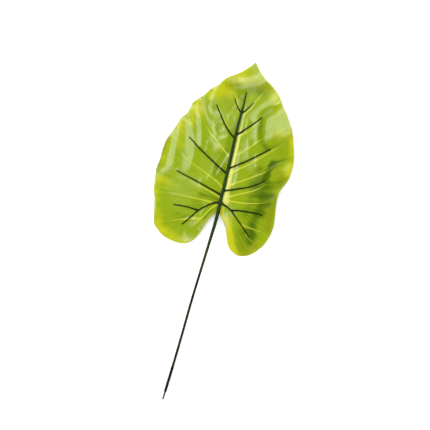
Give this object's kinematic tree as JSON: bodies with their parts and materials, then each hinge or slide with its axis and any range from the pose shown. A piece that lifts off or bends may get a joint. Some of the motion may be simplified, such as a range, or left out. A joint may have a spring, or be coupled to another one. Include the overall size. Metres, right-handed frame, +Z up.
{
  "type": "artificial philodendron leaf on wire stem",
  "caption": "Heart-shaped artificial philodendron leaf lying flat: waved lime blade with raised yellow veins, a dark moulded rib frame with a stem socket, and a coated wire stem.",
  "frame": {"origin": "on the surface the leaf lies on, under the middle of its bounding box", "axes": "+Z up from the surface, the ribbed face upwards; +Y from the cut end of the stem to the tip of the blade"},
  "size_m": [0.2617, 0.6991, 0.0234],
  "materials": {
    "blade_film": "glossy pressed film, lime green with printed yellow veins and margin",
    "rib_plastic": "satin moulded plastic, dark green",
    "coat_plastic": "satin dark green cover",
    "foot_plastic": "matt near-black green cover",
    "wire_steel": "dull drawn wire"
  },
  "bodies": {
    "root": {"blade": "blade_film", "rib_frame": "rib_plastic", "stem_coat": "coat_plastic", "stem_foot": "foot_plastic", "stem_wire": "wire_steel"}
  },
  "joints": []
}
